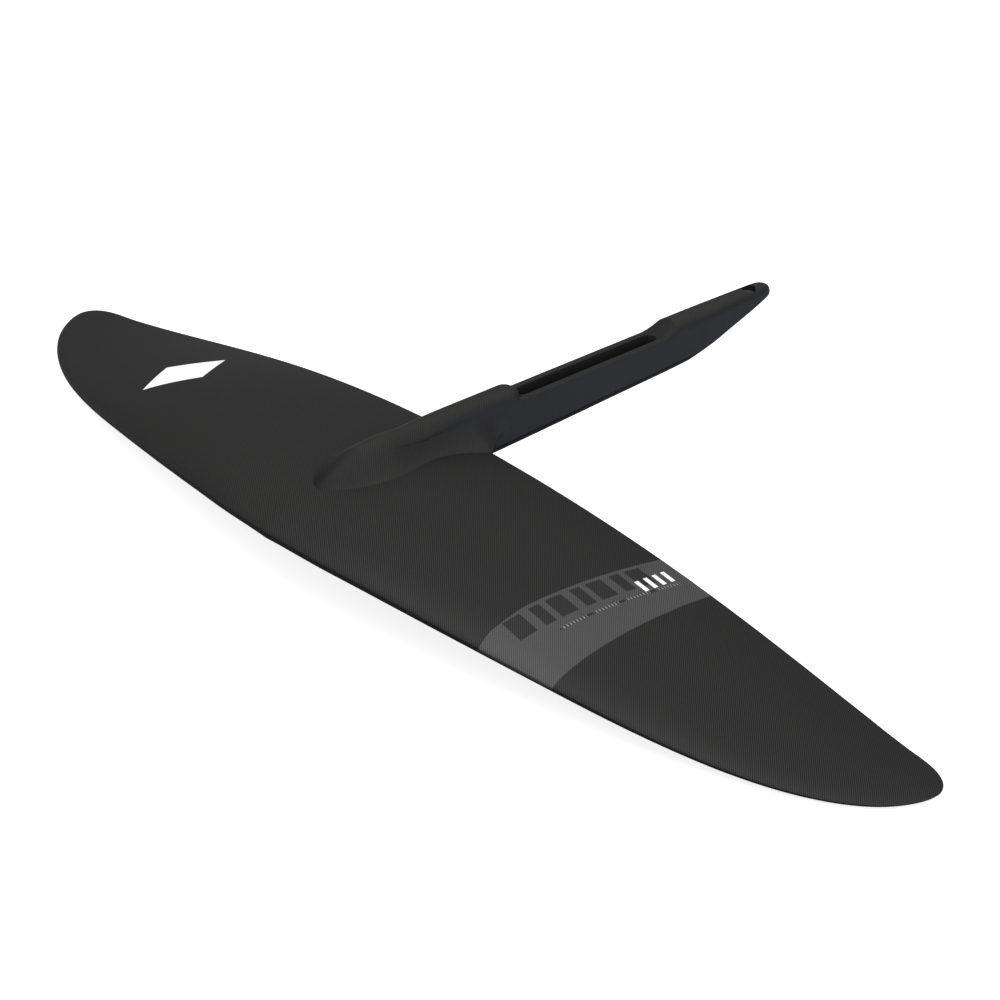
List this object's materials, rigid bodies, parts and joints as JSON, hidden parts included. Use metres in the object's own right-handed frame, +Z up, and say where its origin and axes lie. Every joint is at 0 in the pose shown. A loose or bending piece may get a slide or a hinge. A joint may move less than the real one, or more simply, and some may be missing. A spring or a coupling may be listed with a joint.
{
  "type": "hydrofoil front wing",
  "caption": "High-aspect carbon hydrofoil front wing with drooped rounded tips and an integral tapering fuselage holding a slotted mast socket and a drilled tail for a stabiliser.",
  "frame": {"origin": "centre of the mast socket's floor, midway between the rails and midway along the socket", "axes": "+X to port along the span, +Y aft along the body, +Z up along the mast, square to the level rails; the root chord sits 4 degrees nose-down to the rails"},
  "size_m": [0.8196, 0.4852, 0.0847],
  "materials": {
    "carbon_skin": "satin clear-coated carbon twill, near-black and slightly warm, with a fine weave",
    "solid_laminate": "solid pressed carbon laminate, matt black",
    "carbon_tow": "unidirectional carbon tow in resin",
    "bonding_filler": "thickened resin",
    "core_foam": "closed-cell structural foam, tan",
    "insert_metal": "turned stainless steel, passivated"
  },
  "bodies": {
    "root": {"aft_body_core": "core_foam", "aft_mast_bolt_sleeve": "insert_metal", "fore_mast_bolt_sleeve": "insert_metal", "front_body_core": "core_foam", "front_deck": "carbon_skin", "keel_fairing": "carbon_skin", "keel_strip": "solid_laminate", "lower_skin": "carbon_skin", "mast_socket_liner": "solid_laminate", "port_aft_core": "core_foam", "port_body_shell": "carbon_skin", "port_fore_core": "core_foam", "port_leading_edge_filler": "carbon_tow", "port_trailing_edge_filler": "bonding_filler", "root_block_aft": "solid_laminate", "root_block_fore": "solid_laminate", "socket_floor_block": "solid_laminate", "spar_cap_lower": "carbon_tow", "spar_cap_upper": "carbon_tow", "spar_web": "solid_laminate", "stabiliser_bolt_bush": "insert_metal", "stabiliser_seat_plate": "solid_laminate", "starboard_aft_core": "core_foam", "starboard_body_shell": "carbon_skin", "starboard_fore_core": "core_foam", "starboard_leading_edge_filler": "carbon_tow", "starboard_trailing_edge_filler": "bonding_filler", "tail_block": "solid_laminate", "tail_deck": "carbon_skin", "upper_skin": "carbon_skin"}
  },
  "joints": []
}
